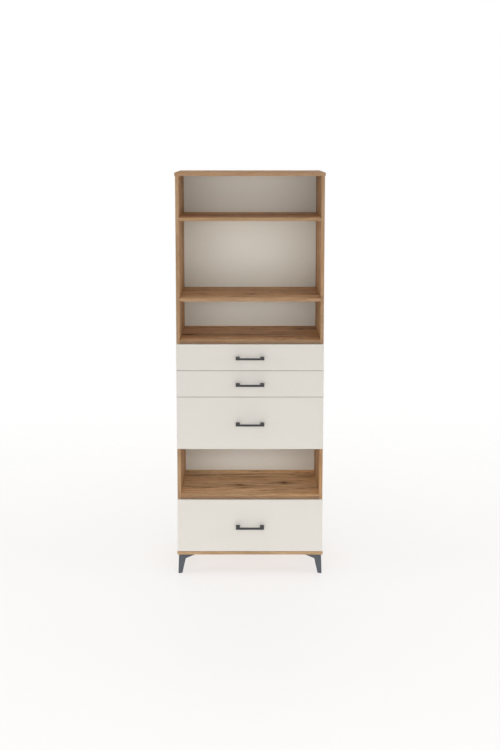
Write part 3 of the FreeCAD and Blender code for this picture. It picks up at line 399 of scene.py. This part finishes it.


# per board: print offset, then painted light and shade factors for faces, edges and the outer face; shaded inner faces
# and the niche floor are painted lighter, the lit top and outer side faces darker
oak("top_panel", "X", (0.31, 1.72, 0.4), (1.15, 1.18, 1.18), (0.86, 0.88, 0.885), ("Z", 1.0, (0.87, 0.815, 0.70)))
oak("bottom_panel", "X", (2.63, 0.44, 3.1), (1.00, 1.00, 1.00), (1.03, 1.11, 1.13))
oak("upper_shelf", "X", (4.05, 2.91, 1.7), (1.30, 1.45, 1.63), (0.88, 0.935, 0.935))
oak("middle_shelf", "X", (6.48, 1.13, 2.2), (1.12, 1.19, 1.26), (0.96, 0.90, 0.85))
oak("open_section_floor", "X", (8.87, 3.39, 0.9), (1.24, 1.38, 1.56), (0.68, 0.675, 0.675))
oak("niche_top_panel", "X", (1.19, 5.55, 4.6), (1.10, 1.10, 1.10), (0.95, 0.95, 0.95))
oak("niche_floor_panel", "X", (3.36, 7.71, 5.8), (1.41, 1.67, 1.92), (0.74, 0.76, 0.79))
oak("left_side_panel", "Z", (0.57, 9.02, 6.5), (1.02, 1.095, 1.14), (0.915, 0.93, 0.915), ("X", -1.0, (0.90, 0.97, 1.10)))
oak("right_side_panel", "Z", (5.21, 6.87, 7.3), (1.03, 1.08, 1.09), (0.90, 0.895, 0.88), ("X", 1.0, (0.90, 0.97, 1.10)))


# ---------------------------------------------------------------------------
# Cream boards
# ---------------------------------------------------------------------------
def make_melamine_group():
    """Fine pearl texture of a pressed melamine face, with faint clouds in its colour."""
    t, given, leave = new_group(
        "melamine",
        [("Vector", "vector"), ("Colour", "colour")],
        [("Colour", "colour"), ("Roughness", "float"), ("Height", "float")],
    )
    place = given["Vector"]
    cloud = t.noise(place, 4.5, 3.0, 0.55)
    mottle = t.noise(place, 60.0, 3.0, 0.6)
    pearl = t.cells(place, 900.0, 1.0).outputs["Distance"]
    fleck = t.smooth(t.noise(place, 420.0, 2.0, 0.5), 0.66, 0.76)
    shade = t.fma(t.minus(cloud, 0.5), 0.050, 1.0)
    shade = t.fma(t.minus(mottle, 0.5), 0.030, shade)
    shade = t.fma(fleck, -0.018, shade)
    colour = t.vector("MULTIPLY", given["Colour"], t.join(shade, shade, shade))
    t.put(leave.inputs["Colour"], colour)
    rough = t.fma(t.minus(mottle, 0.5), 0.09, 0.52)
    rough = t.fma(t.minus(cloud, 0.5), 0.06, rough)
    t.put(leave.inputs["Roughness"], rough)
    t.put(leave.inputs["Height"], t.fma(mottle, 0.35, pearl))
    return t.tree


melamine_group = make_melamine_group()


def melamine(node, colour, offset, edging_line=True):
    """A melamine board with edging on its edges."""
    material, t, shader = new_material("melamine_" + node, **{"Specular IOR Level": 0.20})
    place, normal = surface(t)
    board = t.group(melamine_group, Vector=t.vector("ADD", place, offset), Colour=(*colour, 1))
    edge = edge_distance(t, place, node)
    scuff = t.noise(place, 110.0, 3.0, 0.6)
    line = t.times(t.smooth(edge, 0.0014, 0.0011), t.smooth(edge, 0.0007, 0.0010))
    rubbed = t.times(t.smooth(edge, 0.0010, 0.0002), t.smooth(scuff, 0.40, 0.62))
    colour_out = t.blend(t.times(line, 0.22 if edging_line else 0.0), board.outputs["Colour"], (0.42, 0.36, 0.29, 1))
    colour_out = t.blend(t.times(rubbed, 0.30), colour_out, (0.86, 0.82, 0.75, 1))
    t.put(shader.inputs["Base Color"], colour_out)
    t.put(shader.inputs["Roughness"], t.fma(rubbed, 0.10, board.outputs["Roughness"]))
    t.put(shader.inputs["Normal"], t.bump(t.fma(line, -1.2, board.outputs["Height"]), 0.22, 0.0002))
    paint(node, material)


CREAM = (0.689, 0.657, 0.604)
BOX = (0.700, 0.675, 0.625)
for k in (1, 2, 3, 4):
    melamine(f"drawer_{k}_front", CREAM, (0.37 * k, 1.9 * k, 0.83 * k))
    for part in ("left_side", "right_side", "back"):
        melamine(f"drawer_{k}_{part}", BOX, (1.7 * k, 0.6 * k, 2.3 * k))


def make_hardboard_group():
    """Pressed brown fibre board: matted fibres, fine dark and pale flecks."""
    t, given, leave = new_group(
        "hardboard", [("Vector", "vector")], [("Colour", "colour"), ("Roughness", "float"), ("Height", "float")]
    )
    place = given["Vector"]
    bend = t.vector("ADD", place, t.vector("MULTIPLY", t.noise(place, 160.0, 2.0, 0.5, colour=True), (0.006, 0.006, 0.006)))
    x, y, z = t.split(bend)
    one = t.noise(t.join(t.times(x, 260.0), t.times(y, 900.0), t.times(z, 900.0)), 1.0, 2.0, 0.6)
    two = t.noise(t.join(t.times(x, 900.0), t.times(y, 900.0), t.times(z, 260.0)), 1.0, 2.0, 0.6)
    fibres = t.maths("MAXIMUM", one, two)
    cloud = t.noise(place, 7.0, 4.0, 0.6)
    fleck = t.smooth(t.noise(place, 330.0, 2.0, 0.55), 0.64, 0.74)
    tone = t.fma(t.minus(fibres, 0.5), 1.1, t.fma(t.minus(cloud, 0.5), 0.30, 0.50))
    colour = t.ramp(
        tone, [(0.0, (0.190, 0.116, 0.066)), (0.45, (0.318, 0.208, 0.126)), (0.75, (0.405, 0.280, 0.178)), (1.0, (0.490, 0.356, 0.238))]
    )
    colour = t.blend(t.times(fleck, 0.5), colour, (0.120, 0.072, 0.042, 1))
    t.put(leave.inputs["Colour"], colour)
    t.put(leave.inputs["Roughness"], t.fma(fibres, 0.18, 0.58))
    t.put(leave.inputs["Height"], fibres)
    return t.tree


hardboard_group = make_hardboard_group()


def faced_hardboard(node, colour, offset, axis, sign):
    """Thin fibre board with a paper face on one side; the other side and the edges are bare."""
    material, t, shader = new_material("hardboard_" + node, **{"Specular IOR Level": 0.15})
    place, normal = surface(t)
    moved = t.vector("ADD", place, offset)
    paper = t.group(melamine_group, Vector=moved, Colour=(*colour, 1))
    bare = t.group(hardboard_group, Vector=moved)
    facing = t.times(t.split(normal)["XYZ".index(axis)], sign)
    faced = t.maths("GREATER_THAN", facing, 0.5)
    t.put(shader.inputs["Base Color"], t.blend(faced, bare.outputs["Colour"], paper.outputs["Colour"]))
    t.put(shader.inputs["Roughness"], t.between(faced, bare.outputs["Roughness"], t.plus(paper.outputs["Roughness"], 0.06)))
    t.put(shader.inputs["Normal"], t.bump(t.between(faced, bare.outputs["Height"], t.times(paper.outputs["Height"], 0.6)), 0.30, 0.0002))
    paint(node, material)


BACK = (0.818, 0.832, 0.774)
faced_hardboard("upper_back_panel", BACK, (0.4, 0.9, 1.7), "Y", -1.0)
faced_hardboard("lower_back_panel", BACK, (2.2, 1.1, 0.3), "Y", -1.0)
for k in (1, 2, 3, 4):
    faced_hardboard(f"drawer_{k}_bottom", (0.690, 0.655, 0.595), (0.9 * k, 0.2, 1.3 * k), "Z", 1.0)


# ---------------------------------------------------------------------------
# Metals and plastic
# ---------------------------------------------------------------------------
def powder_coat(name, base, gloss, users):
    """Fine-textured anthracite powder coat."""
    material, t, shader = new_material(name, **{"Specular IOR Level": gloss})
    place, normal = surface(t)
    grit = t.cells(place, 1500.0, 1.0).outputs["Distance"]
    orange = t.noise(place, 520.0, 3.0, 0.6)
    cloud = t.noise(place, 26.0, 3.0, 0.6)
    dust = t.smooth(t.noise(place, 210.0, 3.0, 0.65), 0.63, 0.74)
    shade = t.fma(t.minus(cloud, 0.5), 0.22, 1.0)
    shade = t.fma(t.minus(orange, 0.5), 0.30, shade)
    colour = t.vector("MULTIPLY", (*base,), t.join(shade, shade, shade))
    colour = t.blend(t.times(dust, 0.10), colour, (0.24, 0.245, 0.25, 1))
    t.put(shader.inputs["Base Color"], colour)
    rough = t.fma(t.minus(orange, 0.5), 0.20, 0.50)
    t.put(shader.inputs["Roughness"], t.fma(t.minus(cloud, 0.5), 0.12, rough))
    t.put(shader.inputs["Normal"], t.bump(t.fma(orange, 1.4, grit), 0.30, 0.0002))
    for node in users:
        paint(node, material)


powder_coat("anthracite_legs", (0.069, 0.077, 0.093), 0.5, ["front_left_leg", "front_right_leg", "rear_right_leg", "rear_left_leg"])
powder_coat("anthracite_handles", (0.051, 0.051, 0.057), 0.16, [f"drawer_{k}_handle" for k in (1, 2, 3, 4)])


def plated_steel(name, base, rough, along, users):
    """Zinc-plated steel with drawing marks along one axis, cloudy spangle and faint stains."""
    material, t, shader = new_material(name, **{"Metallic": 1.0})
    place, normal = surface(t)
    x, y, z = t.split(place)
    stretch = [900.0, 900.0, 900.0]
    if along:
        stretch["XYZ".index(along)] = 14.0
    drawn = t.noise(t.join(t.times(x, stretch[0]), t.times(y, stretch[1]), t.times(z, stretch[2])), 1.0, 3.0, 0.6)
    spangle = t.split(t.cells(place, 240.0, 1.0).outputs["Color"])[0]
    cloud = t.noise(place, 34.0, 3.0, 0.6)
    stain = t.smooth(t.noise(place, 75.0, 4.0, 0.65), 0.56, 0.76)
    shade = t.fma(t.minus(drawn, 0.5), 0.20, 0.96)
    shade = t.fma(t.minus(spangle, 0.5), 0.07, shade)
    shade = t.fma(t.minus(cloud, 0.5), 0.16, shade)
    colour = t.vector("MULTIPLY", (*base,), t.join(shade, shade, shade))
    colour = t.blend(t.times(stain, 0.22), colour, (0.36, 0.35, 0.33, 1))
    t.put(shader.inputs["Base Color"], colour)
    r = t.fma(t.minus(drawn, 0.5), 0.22, rough)
    r = t.fma(stain, 0.16, r)
    t.put(shader.inputs["Roughness"], t.fma(t.minus(spangle, 0.5), 0.06, r))
    t.put(shader.inputs["Normal"], t.bump(drawn, 0.22, 0.0001))
    for node in users:
        paint(node, material)


rails = ["left_cabinet_rails", "right_cabinet_rails"]
rails += [f"drawer_{k}_{part}" for k in (1, 2, 3, 4) for part in ("drawer_rails", "middle_rails")]
plated_steel("runner_steel", (0.640, 0.650, 0.660), 0.34, "Y", rails)
plated_steel("zinc_screw", (0.620, 0.615, 0.590), 0.36, None,
             ["wood_screws", "cam_bolts", "shelf_pins", "back_panel_nails"] + [f"drawer_{k}_fasteners" for k in (1, 2, 3, 4)])
plated_steel("zinc_casting", (0.540, 0.545, 0.555), 0.44, None, ["cam_locks"])


def beech(users):
    material, t, shader = new_material("beech_dowel", **{"Specular IOR Level": 0.35})
    place, normal = surface(t)
    x, y, z = t.split(place)
    fibre = t.noise(t.join(t.times(x, 70.0), t.times(y, 900.0), t.times(z, 900.0)), 1.0, 3.0, 0.6)
    fleck = t.smooth(t.noise(t.join(t.times(x, 190.0), t.times(y, 1200.0), t.times(z, 1200.0)), 1.0, 2.0, 0.5), 0.60, 0.70)
    colour = t.ramp(fibre, [(0.25, (0.420, 0.270, 0.150)), (0.55, (0.560, 0.390, 0.235)), (0.80, (0.640, 0.470, 0.300))])
    colour = t.blend(t.times(fleck, 0.5), colour, (0.310, 0.180, 0.095, 1))
    t.put(shader.inputs["Base Color"], colour)
    t.put(shader.inputs["Roughness"], t.fma(fibre, 0.2, 0.5))
    t.put(shader.inputs["Normal"], t.bump(fibre, 0.3, 0.0002))
    for node in users:
        paint(node, material)


beech(["dowels"])


def moulded_plastic(users):
    material, t, shader = new_material("glide_plastic", **{"Specular IOR Level": 0.45})
    place, normal = surface(t)
    grain = t.cells(place, 1100.0, 1.0).outputs["Distance"]
    cloud = t.noise(place, 60.0, 3.0, 0.6)
    shade = t.fma(t.minus(cloud, 0.5), 0.5, 1.0)
    t.put(shader.inputs["Base Color"], t.vector("MULTIPLY", (0.030, 0.030, 0.032), t.join(shade, shade, shade)))
    t.put(shader.inputs["Roughness"], t.fma(t.minus(cloud, 0.5), 0.2, 0.48))
    t.put(shader.inputs["Normal"], t.bump(grain, 0.25, 0.0002))
    for node in users:
        paint(node, material)


moulded_plastic(["foot_glides"])


# ---------------------------------------------------------------------------
# Stage: pale floor that fades into the white surroundings, soft light, camera
# ---------------------------------------------------------------------------
def make_floor():
    rings, spokes, reach = 24, 96, 7.0
    points, faces = [(0.0, 0.0, 0.0)], []
    for i in range(1, rings + 1):
        r = reach * (i / rings) ** 1.6
        for j in range(spokes):
            a = 2 * math.pi * j / spokes
            points.append((r * math.cos(a), r * math.sin(a), 0.0))
    for j in range(spokes):
        faces.append((0, 1 + j, 1 + (j + 1) % spokes))
    for i in range(1, rings):
        a, b = 1 + (i - 1) * spokes, 1 + i * spokes
        for j in range(spokes):
            n = (j + 1) % spokes
            faces.append((a + j, b + j, b + n, a + n))
    mesh = bpy.data.meshes.new("floor")
    mesh.from_pydata(points, [], faces)
    floor = bpy.data.objects.new("floor", mesh)
    bpy.context.scene.collection.objects.link(floor)
    material = bpy.data.materials.new("pale_floor")
    material.use_nodes = True
    material.node_tree.nodes.clear()
    t = Tree(material.node_tree)
    place, normal = surface(t)
    shader = t.add("ShaderNodeBsdfPrincipled")
    shader.inputs["Specular IOR Level"].default_value = 0.2
    grain = t.noise(place, 30.0, 4.0, 0.6)
    t.put(shader.inputs["Base Color"], t.blend(grain, (0.255, 0.252, 0.250, 1), (0.275, 0.272, 0.270, 1)))
    shader.inputs["Emission Color"].default_value = (1.0, 0.985, 0.975, 1)
    shader.inputs["Emission Strength"].default_value = 0.66
    t.put(shader.inputs["Roughness"], t.fma(grain, 0.1, 0.6))
    clear = t.add("ShaderNodeBsdfTransparent")
    mix = t.add("ShaderNodeMixShader")
    away = t.vector("LENGTH", t.vector("MULTIPLY", place, (1.0, 1.0, 0.0)))
    t.put(mix.inputs[0], t.smooth(away, 0.8, 3.4))
    t.put(mix.inputs[1], shader.outputs[0])
    t.put(mix.inputs[2], clear.outputs[0])
    out = t.add("ShaderNodeOutputMaterial")
    t.put(out.inputs["Surface"], mix.outputs[0])
    mesh.materials.append(material)


make_floor()

scene = bpy.context.scene
scene.view_settings.view_transform = "Standard"
scene.view_settings.look = "None"

world = bpy.data.worlds.new("studio")
scene.world = world
world.use_nodes = True
world.node_tree.nodes.clear()
wt = Tree(world.node_tree)
seen = wt.add("ShaderNodeBackground")
seen.inputs["Color"].default_value = (1.0, 1.0, 1.0, 1)
seen.inputs["Strength"].default_value = 1.0
lit = wt.add("ShaderNodeBackground")
lit.inputs["Color"].default_value = (1.0, 1.0, 1.0, 1)
lit.inputs["Strength"].default_value = 0.06
path = wt.add("ShaderNodeLightPath")
pick = wt.add("ShaderNodeMixShader")
wt.put(pick.inputs[0], path.outputs["Is Camera Ray"])
wt.put(pick.inputs[1], lit.outputs[0])
wt.put(pick.inputs[2], seen.outputs[0])
world_out = wt.add("ShaderNodeOutputWorld")
wt.put(world_out.inputs["Surface"], pick.outputs[0])


def softbox(name, place, aim, wide, high, watts, colour=(1.0, 1.0, 1.0)):
    data = bpy.data.lights.new(name, "AREA")
    data.shape = "RECTANGLE"
    data.size, data.size_y = wide, high
    data.energy = watts
    data.color = colour
    lamp = bpy.data.objects.new(name, data)
    lamp.location = place
    lamp.rotation_euler = (Vector(aim) - Vector(place)).to_track_quat("-Z", "Y").to_euler()
    lamp.visible_camera = False
    bpy.context.scene.collection.objects.link(lamp)


softbox("front_floor", (0.0, -2.4, 0.16), (0.0, 0.0, 0.80), 4.5, 0.3, 5.0)
softbox("front_low", (0.0, -3.4, 0.70), (0.0, 0.0, 0.70), 6.0, 1.3, 40.0)
softbox("front_middle", (0.0, -3.4, 1.9), (0.0, 0.0, 1.4), 5.0, 0.8, 30.0)
softbox("front_high", (0.0, -3.4, 2.5), (0.0, 0.0, 2.5), 6.0, 1.6, 26.0)
softbox("overhead", (0.0, 0.0, 8.0), (0.0, 0.0, 0.0), 8.0, 8.0, 355.0)
softbox("left", (-4.2, -0.6, 1.6), (0.0, 0.0, 1.2), 2.4, 2.4, 84.0)
softbox("right", (4.2, -0.6, 1.6), (0.0, 0.0, 1.2), 2.4, 2.4, 84.0)
softbox("rear", (0.0, 3.6, 1.5), (0.0, 0.0, 1.2), 5.0, 2.4, 70.0)

camera_data = bpy.data.cameras.new("camera")
camera = bpy.data.objects.new("camera", camera_data)
scene.collection.objects.link(camera)
camera_data.sensor_width = 36.0
camera_data.lens = 44.92
camera_data.shift_y = -0.175
camera_data.clip_start, camera_data.clip_end = 0.05, 100.0
camera.location = (0.0, -4.657, 2.134)
camera.rotation_euler = (math.radians(90.0 - 6.06), 0.0, 0.0)
scene.camera = camera
